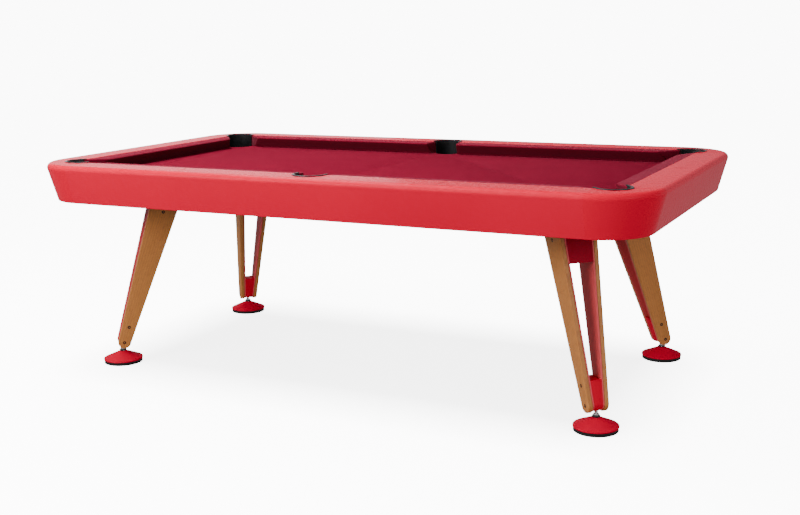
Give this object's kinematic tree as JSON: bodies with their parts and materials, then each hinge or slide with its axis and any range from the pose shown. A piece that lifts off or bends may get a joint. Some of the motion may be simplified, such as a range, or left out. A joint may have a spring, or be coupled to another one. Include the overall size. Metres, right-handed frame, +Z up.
{
  "type": "pool table",
  "caption": "Six-pocket pool table with a sloped red metal body, rounded corners, wine cloth, black drop pockets and splayed wood-and-steel legs on levelling feet.",
  "frame": {"origin": "on the floor, under the middle of the table", "axes": "+X along the table's length, +Y across its width, +Z up"},
  "size_m": [2.328, 1.338, 0.7971],
  "materials": {
    "rail_paint": "satin powder coat, folded sheet",
    "casting_paint": "satin powder coat, cast corner",
    "slate": "honed",
    "bed_cloth": "short wool nap",
    "cushion_cloth": "short wool nap stretched over rubber",
    "pocket_black": "matt moulded",
    "ring_black": "gloss",
    "frame_paint": "matt",
    "core_paint": "satin powder coat",
    "leg_wood": "oiled straight-grained hardwood",
    "stud_chrome": "bright",
    "collar_black": "semi-gloss",
    "foot_paint": "satin powder coat",
    "pad_rubber": "matt"
  },
  "bodies": {
    "table": {"front_rail": "rail_paint", "back_rail": "rail_paint", "left_rail": "rail_paint", "right_rail": "rail_paint", "back_right_corner": "casting_paint", "back_left_corner": "casting_paint", "front_left_corner": "casting_paint", "front_right_corner": "casting_paint", "slate_bed": "slate", "bed_cloth": "bed_cloth", "front_left_cushion": "cushion_cloth", "front_right_cushion": "cushion_cloth", "back_left_cushion": "cushion_cloth", "back_right_cushion": "cushion_cloth", "left_end_cushion": "cushion_cloth", "right_end_cushion": "cushion_cloth", "back_right_pocket_cup": "pocket_black", "back_right_pocket_ring": "ring_black", "back_left_pocket_cup": "pocket_black", "back_left_pocket_ring": "ring_black", "front_left_pocket_cup": "pocket_black", "front_left_pocket_ring": "ring_black", "front_right_pocket_cup": "pocket_black", "front_right_pocket_ring": "ring_black", "front_side_pocket_cup": "pocket_black", "front_side_pocket_ring": "ring_black", "back_side_pocket_cup": "pocket_black", "back_side_pocket_ring": "ring_black", "front_long_beam": "frame_paint", "back_long_beam": "frame_paint", "left_cross_beam": "frame_paint", "right_cross_beam": "frame_paint", "back_right_leg_core": "core_paint", "back_right_leg_board_a": "leg_wood", "back_right_leg_board_b": "leg_wood", "back_left_leg_core": "core_paint", "back_left_leg_board_a": "leg_wood", "back_left_leg_board_b": "leg_wood", "front_left_leg_core": "core_paint", "front_left_leg_board_a": "leg_wood", "front_left_leg_board_b": "leg_wood", "front_right_leg_core": "core_paint", "front_right_leg_board_a": "leg_wood", "front_right_leg_board_b": "leg_wood"},
    "back_right_collar_body": {"back_right_collar": "collar_black"},
    "back_right_stud_body": {"back_right_stud": "stud_chrome"},
    "back_right_foot_body": {"back_right_foot_cone": "foot_paint", "back_right_foot_pad": "pad_rubber"},
    "back_left_collar_body": {"back_left_collar": "collar_black"},
    "back_left_stud_body": {"back_left_stud": "stud_chrome"},
    "back_left_foot_body": {"back_left_foot_cone": "foot_paint", "back_left_foot_pad": "pad_rubber"},
    "front_left_collar_body": {"front_left_collar": "collar_black"},
    "front_left_stud_body": {"front_left_stud": "stud_chrome"},
    "front_left_foot_body": {"front_left_foot_cone": "foot_paint", "front_left_foot_pad": "pad_rubber"},
    "front_right_collar_body": {"front_right_collar": "collar_black"},
    "front_right_stud_body": {"front_right_stud": "stud_chrome"},
    "front_right_foot_body": {"front_right_foot_cone": "foot_paint", "front_right_foot_pad": "pad_rubber"}
  },
  "joints": [
    {"name": "back_right_foot_height", "type": "slide", "parent": "table", "child": "back_right_collar_body", "axis": [0, 0, -1], "range_m": [-0.006, 0.018]},
    {"name": "back_right_stud_turn", "type": "hinge", "parent": "back_right_collar_body", "child": "back_right_stud_body", "pos_m": [0.953, 0.437, 0.034], "axis": [0, 0, 1], "range_deg": [-3704, 1236]},
    {"name": "back_right_foot_tilt", "type": "hinge", "parent": "back_right_collar_body", "child": "back_right_foot_body", "pos_m": [0.953, 0.437, 0.034], "axis": [1, 0, 0], "range_deg": [-6, 6]},
    {"name": "back_left_foot_height", "type": "slide", "parent": "table", "child": "back_left_collar_body", "axis": [0, 0, -1], "range_m": [-0.006, 0.018]},
    {"name": "back_left_stud_turn", "type": "hinge", "parent": "back_left_collar_body", "child": "back_left_stud_body", "pos_m": [-0.953, 0.437, 0.034], "axis": [0, 0, 1], "range_deg": [-3704, 1236]},
    {"name": "back_left_foot_tilt", "type": "hinge", "parent": "back_left_collar_body", "child": "back_left_foot_body", "pos_m": [-0.953, 0.437, 0.034], "axis": [1, 0, 0], "range_deg": [-6, 6]},
    {"name": "front_left_foot_height", "type": "slide", "parent": "table", "child": "front_left_collar_body", "axis": [0, 0, -1], "range_m": [-0.006, 0.018]},
    {"name": "front_left_stud_turn", "type": "hinge", "parent": "front_left_collar_body", "child": "front_left_stud_body", "pos_m": [-0.953, -0.437, 0.034], "axis": [0, 0, 1], "range_deg": [-3704, 1236]},
    {"name": "front_left_foot_tilt", "type": "hinge", "parent": "front_left_collar_body", "child": "front_left_foot_body", "pos_m": [-0.953, -0.437, 0.034], "axis": [1, 0, 0], "range_deg": [-6, 6]},
    {"name": "front_right_foot_height", "type": "slide", "parent": "table", "child": "front_right_collar_body", "axis": [0, 0, -1], "range_m": [-0.006, 0.018]},
    {"name": "front_right_stud_turn", "type": "hinge", "parent": "front_right_collar_body", "child": "front_right_stud_body", "pos_m": [0.953, -0.437, 0.034], "axis": [0, 0, 1], "range_deg": [-3704, 1236]},
    {"name": "front_right_foot_tilt", "type": "hinge", "parent": "front_right_collar_body", "child": "front_right_foot_body", "pos_m": [0.953, -0.437, 0.034], "axis": [1, 0, 0], "range_deg": [-6, 6]}
  ],
  "couplings": [
    {"joint": "back_right_stud_turn", "follows": "back_right_foot_height", "rad_per_m": -3590.4},
    {"joint": "back_left_stud_turn", "follows": "back_left_foot_height", "rad_per_m": -3590.4},
    {"joint": "front_left_stud_turn", "follows": "front_left_foot_height", "rad_per_m": -3590.4},
    {"joint": "front_right_stud_turn", "follows": "front_right_foot_height", "rad_per_m": -3590.4}
  ]
}
